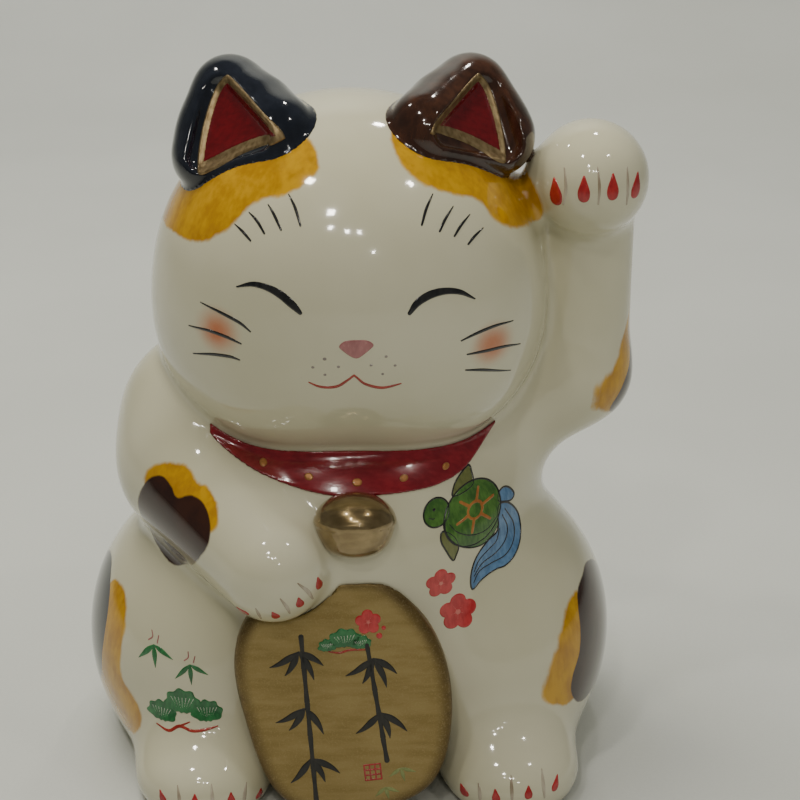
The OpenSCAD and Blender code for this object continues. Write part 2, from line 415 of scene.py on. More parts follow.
flank_black = [(-19, 46.5), (-23.2, 42), (-25, 36), (-24.6, 29), (-22.4, 22), (-15, 17), (-4, 17),
               (4, 23), (8, 33), (5, 43), (-4, 49), (-12, 50)]
flank_rim = [(-19, 47.5), (-26, 48), (-30.5, 43), (-32.6, 36), (-33, 29), (-36, 24.5), (-39.4, 19),
             (-38.6, 14.4), (-33, 11.4), (-24, 11), (-16, 14), (-18, 24), (-20, 36)]
haunch_brown = [(-24.4, 47), (-28, 43.6), (-30.6, 38), (-32.6, 32.6), (-35.2, 27), (-35.6, 21.6),
                (-32, 17.4), (-23, 16), (-12, 19), (-4, 27), (-2, 37), (-7, 45.5), (-15, 49)]
haunch_rim = [(-25.6, 46.6), (-31.6, 44.6), (-35.4, 40), (-38.4, 35.6), (-40.8, 29.7), (-41.8, 24.4),
              (-40, 21.4), (-35, 20), (-31, 24), (-30, 34), (-27, 42)]
sleeve_rim = [(-2.5, 118), (-6.4, 114), (-9.2, 109.4), (-11, 104.7), (-13.6, 100.8), (-14.9, 96.4),
              (-13.6, 92), (-9, 89.5), (-4, 92), (-3, 104)]
sleeve_dark = [(1, 114), (-3.6, 108), (-6.4, 102), (-9.8, 97.2), (-11, 91.8), (-7.6, 88.6), (0, 88),
               (7, 93), (9.5, 101), (7, 110)]


def paint(p):
    """The patches by colour, each as its distance outside the brushed shape."""
    x, y, z = p.T
    front = np.maximum(y, 0) * 0.8
    flank = 1e9 * (z > 60)
    brows = np.minimum(patch(brow_right, x, z), patch(brow_left, x, z))
    mustard = np.hypot(np.maximum(brows + 5, 0), np.maximum(y + 1, 0) * 1.2) - 5
    mustard = np.minimum(mustard, patch(heart_rim, x, z) + front + 1e9 * (z > 95))
    mustard = np.minimum(mustard, patch(flank_rim, y, z) + flank + np.maximum(x + 48, 0))
    mustard = np.minimum(mustard, patch(haunch_rim, y, z) + flank + np.maximum(46 - x, 0))
    mustard = np.minimum(mustard, patch(sleeve_rim, y, z) + np.maximum(61 - x, 0))
    brown = np.minimum(patch(heart, x, z) + front + 1e9 * (z > 95),
                       patch(haunch_brown, y, z) + flank + np.maximum(46 - x, 0))
    brown = np.minimum(brown, patch(sleeve_dark, y, z) + np.maximum(62 - x, 0))
    black = patch(flank_black, y, z) + flank + np.maximum(x + 50, 0)
    blush = np.minimum(np.hypot(x + 31, (z - 123) * 0.9), np.hypot(x - 34, (z - 118.4) * 0.95))
    return {"mustard": mustard, "brown": brown, "black": black, "blush": blush + np.maximum(y, 0)}


glaze = Finish("ivory_glaze", IOR=1.5, Coat_Weight=0.5, Coat_Roughness=0.02, Coat_IOR=1.5)
cloud, drift, bristle = glaze.noise(26, 3), glaze.noise(160, 4), glaze.noise(700, 3, (1, 1, 0.25))
speck = glaze.noise(1500, 1).rise(0.76, 0.82)
wobble = 1.5 * (drift - 0.5) + 0.8 * (bristle - 0.5)
colour = cloud.rise(0.3, 0.7).mix((0.555, 0.525, 0.36, 1), (0.61, 0.58, 0.42, 1))
colour = (0.25 * speck).mix(colour, (0.42, 0.36, 0.27, 1))
rosy = glaze.mask("blush").rise(6.5, 0.8) * (0.55 + 0.5 * drift)
colour = rosy.mix(colour, (0.50, 0.10, 0.006, 1))
thick = (0.65 * drift + 0.35 * bristle).rise(0.36, 0.64)
ochre = thick.mix((0.56, 0.30, 0.004, 1), (0.40, 0.19, 0.002, 1))
colour = (glaze.mask("mustard") + wobble).rise(0.55, -0.45).mix(colour, ochre)
umber = drift.rise(0.35, 0.65).mix((0.036, 0.010, 0.004, 1), (0.022, 0.006, 0.003, 1))
colour = (glaze.mask("brown") + 0.4 * wobble).rise(0.3, -0.25).mix(colour, umber)
colour = (glaze.mask("black") + 0.4 * wobble).rise(0.3, -0.25).mix(colour, (0.006, 0.007, 0.011, 1))
# the glaze is wiped from the foot, which shows bare biscuit
height = glaze.node("ShaderNodeSeparateXYZ", {}, 2, i0=glaze.place)
bare = height.rise(0.0011, 0.0006)
colour = bare.mix(colour, bristle.mix((0.46, 0.40, 0.32, 1), (0.56, 0.50, 0.41, 1)))
glaze.lay(colour=colour, rough=0.06 + 0.05 * cloud + 0.6 * bare, bump=0.7 * glaze.noise(60, 2) + 0.3 * drift,
          deep=0.0004, strength=0.22)

box_low = np.floor(np.minimum(cad_low, cad_high) / MM) - 3
box_high = np.ceil(np.maximum(cad_low, cad_high) / MM) + 3
body_points, body_faces, body_normals = cast(bank, box_low, box_high, 1.25)
glazed_body = piece("glazed_body", body_points, body_faces, glaze.material, slot="glazed_clay",
                    nodes=["torso_casting", "head_casting", "raised_arm", "resting_arm", "right_hind_leg",
                           "left_hind_leg"], normals=body_normals)
for shade, distance in paint(body_points).items():
    brushed = glazed_body.data.attributes.new(shade, "FLOAT", "POINT")
    brushed.data.foreach_set("value", np.clip(distance, -40, 40))

# ---------------------------------------------------------------------------------------
# The ears. Each is a pressed lump of clay, hollowed a little in front and luted to the head,
# then dipped black or brown. Inside is a crimson triangle framed by a raised bronze line.


def leaf(p, a, b, c, thick):
    """A flat three-cornered leaf of clay."""
    a, b, c = (np.array(v, float) for v in (a, b, c))
    face = np.cross(b - a, a - c)
    edges = [(b - a, p - a), (c - b, p - b), (a - c, p - c)]
    outside = sum(np.sign((np.cross(e, face) * q).sum(-1)) for e, q in edges) < 2
    rim = [((e * np.clip((q @ e) / (e @ e), 0, 1)[..., None] - q) ** 2).sum(-1) for e, q in edges]
    flat = ((p - a) @ face) ** 2 / (face @ face)
    return np.sqrt(np.where(outside, np.minimum(np.minimum(rim[0], rim[1]), rim[2]), flat)) - thick


# pressed by hand, the two don't match: each has its tip, shoulder, lobe, edge and outer foot,
# the near and far corner of its front foot, and the three corners of its hollow
ears = {-1: [(-28.6, 0.4, 171), (-21.6, -7.5, 167.6), (-15.8, -16.3, 165), (-32.8, -4.3, 163.2),
             (-36.2, -8.5, 157), (-17.3, -19.3, 163.6), (-34.2, -14.2, 156.4), (-31.8, -11, 174.6),
             (-22, -25, 166.6), (-35.2, -19.5, 160.8)],
        1: [(30.3, 0.4, 171), (23.6, -7.5, 168), (18.2, -16.3, 166), (35.6, -4.3, 164.4),
            (38.8, -8.5, 161.6), (19.8, -19.3, 164.8), (36.8, -13.4, 160), (34.4, -11, 174.6),
            (24.6, -25, 167.4), (38.2, -18.6, 162.6)]}


def ear(p, side):
    tip, shoulder, lobe, edge, outer, near_foot, far_foot, *hollow_corners = ears[side]
    lump = blend(limb(p, tip, 6.3, shoulder, 7.3), limb(p, shoulder, 7.3, lobe, 7.2), 9)
    lump = blend(lump, blend(limb(p, tip, 6.3, edge, 6.4), limb(p, edge, 6.4, outer, 6.0), 9), 4)
    lump = blend(lump, limb(p, tip, 5.6, (side * 28, 8, 154), 8.5), 9)
    lump = blend(lump, limb(p, lobe, 7, (side * 18, -8, 158), 8.5), 6)
    lump = blend(lump, leaf(p, tip, near_foot, far_foot, 6), 6)
    return carve(lump, leaf(p, *hollow_corners, 4.4), 1)


def with_ears(p):
    return blend(skin(p), np.minimum(ear(p, -1), ear(p, 1)), 2)


def luted(form):
    """A lump with the slip around its foot, closed a little way inside the skin."""
    return lambda p: np.maximum(np.maximum(blend(skin(p), form(p), 2), form(p) - 1), -skin(p) - 1.5)


def enamel(name, marks, form, material, lift=0.1, step=0.16, flat=((1, 0, 0), (0, 0, 1)),
           slot="glazed_clay", nodes=()):
    """Thin closed films of enamel on a form. A mark is its shape and its box on the flat, and is
    carried onto the form along the line of sight square to that flat."""
    across, up = np.array(flat, float)
    into = np.cross(up, across)
    shell, film, top, wall, count = [], [], [], [], 0
    for shape, (x0, y0, x1, y1) in marks:
        x, y = np.meshgrid(np.arange(x0, x1, step), np.arange(y0, y1, step), indexing="ij")
        d = shape(x, y)
        keep = np.pad((d[1:, 1:] + d[:-1, 1:] + d[1:, :-1] + d[:-1, :-1]) < 0, 1)
        round_it = keep[1:, 1:].astype(int) + keep[:-1, 1:] + keep[1:, :-1] + keep[:-1, :-1]
        edge = (round_it > 0) & (round_it < 4)
        ex, ey = x[edge], y[edge]
        for _ in range(3):
            miss, e = shape(ex, ey), 0.02
            gx, gy = (shape(ex + e, ey) - miss) / e, (shape(ex, ey + e) - miss) / e
            pull = np.clip(miss, -0.5 * step, 0.5 * step) / np.maximum(gx ** 2 + gy ** 2, 0.3)
            ex, ey = ex - gx * pull, ey - gy * pull
        x[edge], y[edge] = ex, ey
        used = round_it > 0
        number = np.full(d.shape, -1)
        number[used] = np.arange(used.sum()) + count
        points = x[used][:, None] * across + y[used][:, None] * up
        points = points + into * landing(form, points, into)[:, None]
        out = outward(form, points)
        inset = np.clip(-shape(x[used], y[used]) / 0.3, 0, 1)
        shell.append(points + out * (0.03 + (lift - 0.03) * np.sqrt(inset * (2 - inset)))[:, None])
        film.append(points - out * 0.06)
        cell = keep[1:-1, 1:-1]
        at = np.argwhere(cell)
        ring = [number[tuple((at + s).T)] for s in ((0, 0), (1, 0), (1, 1), (0, 1))]
        top.append(np.stack(ring, -1))
        for side, (a, b) in (((0, -1), (0, 1)), ((1, 0), (1, 2)), ((0, 1), (2, 3)), ((-1, 0), (3, 0))):
            bare = ~keep[tuple((at + 1 + side).T)]
            wall.append(np.stack([ring[b][bare], ring[a][bare]], -1))
        count += used.sum()
    top, wall = np.concatenate(top), np.concatenate(wall)
    quads = np.concatenate([top, top[:, ::-1] + count, np.hstack([wall, wall[:, ::-1] + count])])
    return piece(name, np.concatenate(shell + film), quads, material, slot=slot, nodes=nodes)


def landing(form, points, into):
    """How far along the line of sight each point meets the form."""
    reach, still = np.full(len(points), -90.0), np.arange(len(points))
    for _ in range(70):
        gap = form(points[still] + into * reach[still, None])
        reach[still] += np.clip(gap * 0.9, -1, 30)
        still = still[np.abs(gap) > 0.05]
        if not len(still):
            break
    for _ in range(2):
        here = points + into * reach[:, None]
        steep = (outward(form, here) @ into).clip(-1, -0.15)
        reach = reach - np.clip(form(here) / steep, -0.5, 0.5)
    return reach


black = Finish("black_ear_glaze", IOR=1.5, Coat_Weight=0.6, Coat_Roughness=0.02)
drift, bristle = black.noise(120, 3), black.noise(600, 3, (1, 1, 0.3))
streak = (0.6 * drift + 0.4 * bristle).rise(0.3, 0.75)
black.lay(colour=streak.mix((0.0045, 0.006, 0.011, 1), (0.012, 0.015, 0.024, 1)),
          rough=0.06 + 0.06 * bristle, bump=drift, deep=0.0005, strength=0.2)
brown = Finish("brown_ear_glaze", IOR=1.5, Coat_Weight=0.6, Coat_Roughness=0.02)
drift, bristle = brown.noise(110, 3), brown.noise(420, 4, (1, 1, 0.22))
streak = (0.45 * drift + 0.55 * bristle).rise(0.36, 0.68)
brown.lay(colour=streak.mix((0.022, 0.0075, 0.0035, 1), (0.062, 0.022, 0.010, 1)),
          rough=0.07 + 0.07 * bristle, bump=0.5 * drift + 0.5 * bristle, deep=0.0004, strength=0.25)
bronze = Finish("bronze_line", Metallic=0.75, IOR=1.5)
grain = bronze.noise(900, 4, (1, 1, 0.4))
bronze.lay(colour=grain.rise(0.3, 0.7).mix((0.20, 0.135, 0.062, 1), (0.36, 0.265, 0.135, 1)),
           rough=0.30 + 0.2 * grain, bump=grain, deep=0.00008, strength=0.6)


def crimson_finish(name, dark, light, rough, sheen_rough):
    """Crimson enamel brushed on in level streaks."""
    made = Finish(name, IOR=1.5, Coat_Weight=0.5, Coat_Roughness=sheen_rough)
    drift, bristle = made.noise(150, 3), made.noise(900, 3, (0.4, 1, 1))
    return made.lay(colour=(0.5 * drift + 0.5 * bristle).rise(0.34, 0.66).mix((*dark, 1), (*light, 1)),
                    rough=rough + 0.1 * bristle, bump=bristle, deep=0.00006, strength=0.4)


crimson = crimson_finish("crimson_enamel", (0.085, 0.001, 0.003), (0.13, 0.002, 0.005), 0.16, 0.05)
for side, title, glazed, node in ((-1, "right", black, "right_ear"), (1, "left", brown, "left_ear")):
    lump = luted(lambda p, side=side: ear(p, side))
    low, high = min(side * 4, side * 50), max(side * 4, side * 50)
    points, faces, out = cast(lump, (low, -30, 138), (high, 22, 182), 0.75)
    piece(title + "_ear", points, faces, glazed.material, nodes=[node], normals=out,
          slot="black_glaze" if side < 0 else "brown_glaze")
    # the bronze line is drawn on the outline of the triangle, and the crimson fills it within
    line = np.array([(30.4, 175.8), (33.4, 171.5), (36, 164), (37.1, 157), (36.2, 154.8), (32.5, 156.6),
                     (25.5, 160.6), (16.6, 164.6), (15.8, 165.6), (17.6, 168), (23, 172), (28.4, 175.6)])
    line = line + (-1.2, 1) if side < 0 else line * (0.875, 0.905) + (5.6, 17.7)
    line = line * (side, 1)
    box = (*(line.min(0) - 0.6), *(line.max(0) + 0.6))
    for part, inset, material, slot in (("frame", 0, bronze.material, "gold_enamel"),
                                        ("lining", 1.45, crimson, "red_enamel")):
        mark = (lambda x, z, line=line, inset=inset: patch(line, x, z) + inset, box)
        enamel(title + "_ear_" + part, [mark], with_ears, material, lift=0.35 + 0.04 * inset,
               step=0.22, slot=slot)

# ---------------------------------------------------------------------------------------
# The tail. A rolled coil of clay curled against the right rear of the seat, black like the
# ear on that side and luted on before glazing.


def tail(p):
    root, turn, bow, end = (-4, 40, 14), (9, 47, 11), (21, 47, 13), (28, 42, 22)
    coil = blend(limb(p, root, 10.5, turn, 9.5), limb(p, turn, 9.5, bow, 8.5), 4)
    return blend(coil, limb(p, bow, 8.5, end, 7.5), 4)


points, faces, out = cast(lambda p: -blend(-luted(tail)(p), p[..., 2], 1.6), (-22, 22, -3), (44, 64, 38), 0.9)
piece("tail", points, faces, black.material, slot="black_glaze", nodes=["tail"], normals=out)

# ---------------------------------------------------------------------------------------
# The tablet. An oval gold piece standing between the forepaws and leaning on the belly, its
# edge rounded and brushed with bronze-gold; painted shade darkens the gold along the rounded rim.
tablet_at = np.array((-3.0, -50.0, 32.4))
lean, roll = np.radians(10), np.radians(6)
tablet_out = np.array((0, -np.cos(lean), np.sin(lean)))
level, rising = np.array((1.0, 0, 0)), np.array((0, np.sin(lean), np.cos(lean)))
tablet_across = level * np.cos(roll) + rising * np.sin(roll)
tablet_up = rising * np.cos(roll) - level * np.sin(roll)
tablet_line = [(-3, 30.2), (4, 30), (10.5, 29.2), (14.8, 26.8), (18.3, 22.9), (21.7, 18), (24.5, 12.4),
               (26.4, 6.2), (27.2, -0.7), (26.9, -7.7), (25.4, -15.4), (23, -21.8), (19, -27), (12, -30.4),
               (2, -31.6), (-8, -31), (-14.6, -28.4), (-18.6, -24.4), (-21, -19.6), (-22.9, -12.6),
               (-24.3, -4), (-25.3, 4.4), (-25, 11.6), (-22.8, 18.4), (-18, 24.4), (-11, 28.6)]


def tablet(p):
    half, rounding = 4, 2.6
    q = p - tablet_at
    x, y, z = q @ tablet_across, q @ tablet_up, q @ tablet_out
    side, face = patch(tablet_line, x, y) + rounding, np.abs(z) - half + rounding
    plate = np.hypot(np.maximum(side, 0), np.maximum(face, 0)) + np.minimum(np.maximum(side, face), 0)
    return carve(plate - rounding, skin(p) - 0.05, 0.9)


gold = Finish("brushed_gold", Metallic=0.55, IOR=1.5)
drift, bristle, grit = gold.noise(60, 3), gold.noise(520, 4, (0.18, 1, 1)), gold.noise(2600, 2)
# painted shade: the gold is darkened within about 4.5 mm of the outline, over the rounded rim
shaded_rim = gold.mask("edge").rise(4.5, 0.6)
colour = (0.4 * drift + 0.6 * bristle).rise(0.34, 0.66).mix((0.265, 0.185, 0.060, 1), (0.36, 0.265, 0.102, 1))
colour = (0.8 * shaded_rim * (0.5 + bristle)).mix(colour, (0.10, 0.062, 0.019, 1))
gold.lay(colour=(0.25 * grit.rise(0.5, 0.7)).mix(colour, (0.47, 0.36, 0.17, 1)),
         rough=0.34 + 0.22 * bristle - 0.06 * shaded_rim, bump=0.6 * bristle + 0.4 * grit,
         deep=0.00012, strength=0.5)

points, faces, out = cast(tablet, (-36, -66, -1), (32, -30, 68), 0.75)
plate = piece("tablet", points, faces, gold.material, slot="gold_enamel", nodes=["tablet"], normals=out)
# how far in from the rim each point on the front face lies; this sets the painted shade along the rim
q = points - tablet_at
inner = np.maximum(-patch(tablet_line, q @ tablet_across, q @ tablet_up), 0) + 9 * (q @ tablet_out < 0)
plate.data.attributes.new("edge", "FLOAT", "POINT").data.foreach_set("value", inner)

# ---------------------------------------------------------------------------------------
# The collar. A band of clay slip a millimetre proud, tucked under the chin from shoulder to
# shoulder and painted crimson, with five flat gold dots along its middle.


def collar(p):
    x, y, z = p[..., 0], p[..., 1], p[..., 2]
    lower = 81.3 + np.where(x < 0, 0.0069 * x * x + 3 * (x / 36) ** 12, 10 * (x / 37.3) ** 6)
    band = np.maximum(skin(p) - 0.55, -skin(p) - 0.8)
    cut = np.maximum(np.maximum((lower - z) * 0.8, 0.9 - head(p)), np.maximum(-34.8 - x, y + 14))
    return carve(band, -cut, 0.7)


points, faces, out = cast(collar, (-38, -48, 77), (41, -10, 100), 0.6)
scarlet = crimson_finish("collar_enamel", (0.16, 0.004, 0.010), (0.24, 0.009, 0.016), 0.14, 0.04)
piece("collar", points, faces, scarlet, slot="red_enamel", nodes=["collar"], normals=out)

dot_gold = Finish("dot_gold", Metallic=0.35, IOR=1.5, Coat_Weight=0.4, Coat_Roughness=0.05)
grain = dot_gold.noise(1500, 3)
dot_gold.lay(colour=grain.rise(0.35, 0.65).mix((0.33, 0.135, 0.035, 1), (0.44, 0.20, 0.055, 1)),
             rough=0.28 + 0.15 * grain, bump=grain, deep=0.00006, strength=0.5)
dots = [(-21.4, 86.6, 0.95, 0.66), (-10.2, 85.1, 1.1, 0.7), (1.5, 84.3, 1.2, 0.78), (12.9, 84.4, 1.05, 0.7),
        (23.4, 84.9, 0.9, 0.66)]
marks = [(lambda x, z, cx=cx, cz=cz, a=a, b=b: (np.hypot((x - cx) / a, (z - cz) / b) - 1) * b,
          (cx - a - 0.4, cz - b - 0.4, cx + a + 0.4, cz + b + 0.4)) for cx, cz, a, b in dots]
enamel("collar_studs", marks, lambda p: np.minimum(skin(p), collar(p)), dot_gold.material,
       lift=0.3, step=0.12, slot="gold_enamel", nodes=["collar_studs"])

# ---------------------------------------------------------------------------------------
# The bell. One solid pear of clay under the collar, tipped back against the chest, with a
# domed top that laps a blunter lower half, all brushed with antique gold.
bell_at, tip_back = np.array((0.9, -45.6, 76.2)), np.radians(12)
bell_up = np.array((0, np.sin(tip_back), np.cos(tip_back)))
bell_back = np.array((0, np.cos(tip_back), -np.sin(tip_back)))


def bell(p):
    q = p - bell_at
    q = np.stack([q[..., 0], q @ bell_back, q @ bell_up], -1)
    dome = blend(-egg(q, (0, 0, 0), (10.1, 9.1, 7.3)), q[..., 2] + 0.5, 0.8)
    cup = egg(q, (0, 0, 1.4), (9.9, 8.9, 11.6))
    cup = -blend(blend(-cup, q[..., 2] + 8.9, 3.5), 1.0 - q[..., 2], 0.5)
    return carve(blend(-dome, cup, 0.5), skin(p) - 0.1, 0.2)


points, faces, out = cast(bell, (-12, -60, 62), (14, -32, 88), 0.55)
bell_gold = Finish("bell_gold", Metallic=0.8, IOR=1.5, Coat_Weight=0.9, Coat_Roughness=0.05)
drift, bristle = bell_gold.noise(190, 3), bell_gold.noise(900, 4, (0.25, 1, 0.6))
streak = (0.45 * drift + 0.55 * bristle).rise(0.32, 0.68)
bell_gold.lay(colour=streak.mix((0.20, 0.135, 0.052, 1), (0.36, 0.265, 0.125, 1)),
              rough=0.16 + 0.16 * bristle, bump=0.5 * drift + 0.5 * bristle, deep=0.0002, strength=0.6)
piece("bell", points, faces, bell_gold.material, slot="gold_enamel", nodes=["bell"], normals=out)

# ---------------------------------------------------------------------------------------
# The base stopper. A soft translucent-white rubber plug pressed into the drain hole; it is
# left as turned in the solids and only given its rubber finish.
rubber = Finish("soft_rubber", Roughness=0.5, IOR=1.48)
bloom, tooth = rubber.noise(80, 3), rubber.noise(2400, 2)
rubber.lay(colour=bloom.rise(0.3, 0.7).mix((0.62, 0.61, 0.56, 1), (0.70, 0.69, 0.64, 1)),
           rough=0.42 + 0.2 * bloom, bump=tooth, deep=0.00008, strength=0.6)
for thing in bpy.data.objects:
    if thing.type == "MESH" and thing.name.startswith("base_stopper"):
        for slot in thing.material_slots:
            slot.material = rubber.material

# ---------------------------------------------------------------------------------------
# The face. Closed smiling eyes, brows and whiskers in thin black enamel, a dusty pink nose,
# a brick-red mouth and pale whisker dots, all laid by brush on the fired glaze.


def stroke(*lines):
    """One mark of brush strokes: each line runs through (x, y, width) points."""
    runs = [bend(line, closed=False, steps=5) for line in lines]
    every = np.vstack(runs)

    def shape(x, y):
        far = np.full(x.shape, 1e9)
        for run in runs:
            for a, b in zip(run[:-1], run[1:]):
                e = b[:2] - a[:2]
                t = np.clip(((x - a[0]) * e[0] + (y - a[1]) * e[1]) / (e @ e), 0, 1)
                off = np.hypot(x - a[0] - t * e[0], y - a[1] - t * e[1])
                far = np.minimum(far, off - (a[2] + t * (b[2] - a[2])) / 2)
        return far
    return shape, (*(every[:, :2].min(0) - 1.2), *(every[:, :2].max(0) + 1.2))


def oval(x, y, across, tall, turn=0.0):
    """A round or oval dab."""
    c, s = np.cos(np.radians(turn)), np.sin(np.radians(turn))
    a, b, wide = across / 2, tall / 2, max(across, tall) / 2 + 0.5

    def shape(u, v):
        p, q = (u - x) * c + (v - y) * s, (v - y) * c - (u - x) * s
        near = np.hypot(p / a, q / b)
        return near * (near - 1) / np.maximum(np.hypot(p / a ** 2, q / b ** 2), 1e-6)
    return shape, (x - wide, y - wide, x + wide, y + wide)


def filled(corners, smooth=True):
    reach = np.array(corners)[:, :2]
    return lambda x, y: patch(corners, x, y, smooth), (*(reach.min(0) - 1), *(reach.max(0) + 1))


def enamel_finish(name, dark, light, rough=0.14, fine=1200, sheen=0.5):
    """A brushed enamel: streaks between a dark and a light tone, with a low relief."""
    made = Finish(name, IOR=1.5, Coat_Weight=sheen, Coat_Roughness=0.04)
    drift, bristle = made.noise(fine * 0.18, 3), made.noise(fine, 3, (1, 1, 0.35))
    return made.lay(colour=(0.5 * drift + 0.5 * bristle).rise(0.34, 0.66).mix((*dark, 1), (*light, 1)),
                    rough=rough + 0.12 * bristle, bump=bristle, deep=0.00005, strength=0.4)


black_line = enamel_finish("black_line", (0.006, 0.006, 0.007), (0.022, 0.021, 0.021))
eyes = [stroke([(-26.1, 134.5, 0.35), (-22.3, 135.7, 1.15), (-18.7, 135.3, 1.6), (-15.7, 134, 1.95),
                (-12.9, 131.8, 1.85), (-11.3, 130.2, 1.0)]),
        stroke([(14, 129.7, 1.0), (15.9, 132, 1.8), (19, 133.5, 1.95), (22.5, 133.8, 1.6),
                (26.1, 132.9, 1.15), (29.5, 130.7, 0.35)])]
brows = [stroke([(x0, z0, 0.25), (x1, z1, 0.7), (x2, z2, 0.5)]) for x0, z0, x1, z1, x2, z2 in (
    (-13.7, 155.3, -12.2, 152.8, -11, 149.3), (-18.5, 152.9, -17.1, 151, -15.5, 148.1),
    (-23, 150.8, -21.1, 149.3, -19.4, 147), (-26.4, 147.9, -24.4, 146.6, -22.7, 145.1),
    (19.7, 154.6, 18.1, 151.9, 17, 148.8), (24.5, 151.5, 22.5, 149.2, 21.2, 147),
    (28.5, 149.2, 26.3, 147.4, 24.7, 145.5), (31.7, 145.8, 29.5, 144.5, 28, 143.2))]
whiskers = [stroke([(-35, 128.9, 0.3), (-30.1, 127.7, 0.75), (-25.7, 126.2, 0.8), (-23.1, 124.4, 0.4)]),
            stroke([(-38.2, 122.3, 0.3), (-33.1, 122.6, 0.75), (-28.7, 122, 0.8), (-25.4, 121, 0.4)]),
            stroke([(-37.4, 115.4, 0.3), (-32.8, 116.7, 0.75), (-28.4, 117.2, 0.8), (-25.9, 116.8, 0.4)]),
            stroke([(26.3, 121.2, 0.4), (30.2, 122.3, 0.8), (34.8, 122.9, 0.75), (39.2, 122.6, 0.3)]),
            stroke([(27.8, 117.4, 0.4), (32, 117.2, 0.8), (37.1, 116.8, 0.75), (41.3, 115.7, 0.3)]),
            stroke([(27.5, 113.3, 0.4), (32.2, 112.1, 0.8), (39, 109.3, 0.3)])]
for title, marks in (("eyes", eyes), ("brows", brows), ("whiskers", whiskers)):
    enamel(title, marks, skin, black_line, lift=0.12, step=0.13)

nose_pink = enamel_finish("dusty_pink", (0.30, 0.10, 0.10), (0.40, 0.155, 0.15), rough=0.2)
enamel("nose", [filled([(-2.4, 122.3), (-1.1, 123.6), (1.4, 123.9), (4.2, 123.7), (5.6, 122.5), (4.5, 121.2),
                        (2.7, 119.7), (1.6, 119.2), (0.3, 119.7), (-1.5, 121.1)])],
       skin, nose_pink, lift=0.14, step=0.15)
mouth_red = enamel_finish("brick_red", (0.26, 0.018, 0.012), (0.37, 0.035, 0.020))
enamel("mouth", [stroke([(-9.6, 112.6, 0.35), (-7.5, 111.6, 0.6), (-5.2, 111.3, 0.72), (-2.8, 111.7, 0.72),
                         (-0.7, 113.2, 0.6), (1.0, 114.7, 0.5)],
                        [(1.0, 114.7, 0.5), (1.9, 113.8, 0.55), (3.3, 112.4, 0.65), (5.6, 111.4, 0.75),
                         (7.8, 111, 0.72), (10.1, 111.4, 0.6), (12, 111.9, 0.35)])],
       skin, mouth_red, lift=0.12, step=0.13)
dot_grey = enamel_finish("whisker_dot_grey", (0.20, 0.17, 0.15), (0.30, 0.26, 0.23), rough=0.2)
enamel("whisker_dots", [oval(x, z, w, w * 0.85) for x, z, w in (
    (-5.8, 119, 0.9), (-8.6, 116.7, 0.75), (-2.6, 117, 0.75), (-5.8, 114.8, 0.7), (8.5, 119.4, 0.75),
    (5, 117.3, 0.7), (10.6, 116.9, 0.7), (7.7, 114.8, 0.7))], skin, dot_grey, lift=0.06, step=0.12)

# ---------------------------------------------------------------------------------------
# Claws and toes. Each paw has four teardrop claws in red enamel with soft grey-brown lines
# between them that mark off the toes.
claw_red = enamel_finish("claw_red", (0.30, 0.010, 0.014), (0.44, 0.026, 0.026))
toe_grey = enamel_finish("toe_grey", (0.26, 0.20, 0.13), (0.50, 0.44, 0.34), rough=0.16, fine=500)


def claw(x, z, wide, tall, turn=0.0):
    """A teardrop, its point upward before it is turned."""
    c, s = np.cos(np.radians(turn)), np.sin(np.radians(turn))
    drop = [(0, 0.52), (0.24, 0.25), (0.46, -0.12), (0.36, -0.42), (0, -0.52), (-0.36, -0.42), (-0.46, -0.12),
            (-0.24, 0.25)]
    return filled([(x + u * wide * c - v * tall * s, z + u * wide * s + v * tall * c) for u, v in drop])


# the raised paw, the two feet, then the resting paw
claws = [(49.7, 151.2, 2.9, 6.6, 6), (56, 152.9, 3.1, 6.2), (62.9, 153.4, 3.1, 6.2),
         (69, 152.7, 2.6, 6.0, -8),
         (-47.6, 7.0, 1.9, 3.4, 20), (-39.3, 7.4, 2.2, 3.6), (-30.5, 6.8, 2.2, 3.6),
         (-23.7, 4.4, 1.8, 3.0, -14),
         (27.4, 6.0, 2.2, 3.2, 24), (35.2, 7.2, 2.2, 3.6, 6), (43.3, 8.2, 2.2, 3.2),
         (50.4, 8.6, 1.9, 3.6, -16),
         (-26.4, 57.2, 1.9, 3.4, 62), (-18.5, 57.6, 2.2, 2.9, 24), (-12.5, 60.9, 2.1, 3.3, 8),
         (-7.9, 64.2, 1.7, 3.6, 8)]
enamel("claws", [claw(*c) for c in claws], skin, claw_red, lift=0.16)
creases = [(51.6, 157.2, 51.9, 152.6, 0.75, 51.5, 148.4), (59.2, 158, 59.6, 153.6, 0.7, 59.5, 149.4),
           (66.5, 157.4, 66.7, 153, 0.7, 66.6, 148.6),
           (-43.6, 10.6, -43.2, 7.8, 0.9, -43, 5), (-35.2, 11, -35, 8, 0.9, -34.9, 5),
           (-26.8, 9.4, -27.2, 6.8, 0.9, -27.4, 4),
           (31, 9.4, 31.3, 7, 0.9, 31.4, 4.4), (39, 12, 39.1, 9, 0.9, 39.2, 5.6),
           (46.8, 12.4, 47.1, 9.4, 0.9, 47.4, 6),
           (-23, 59.8, -22.4, 58, 0.8, -21.9, 56), (-17, 63, -15.6, 60.4, 0.9, -14.9, 57.8),
           (-12.8, 66.4, -10.6, 63.6, 0.9, -9.4, 60.4)]
enamel("toe_lines", [stroke([(x0, z0, 0.3), (x1, z1, wide), (x2, z2, 0.4)])
                     for x0, z0, x1, z1, wide, x2, z2 in creases], skin, toe_grey, lift=0.07)

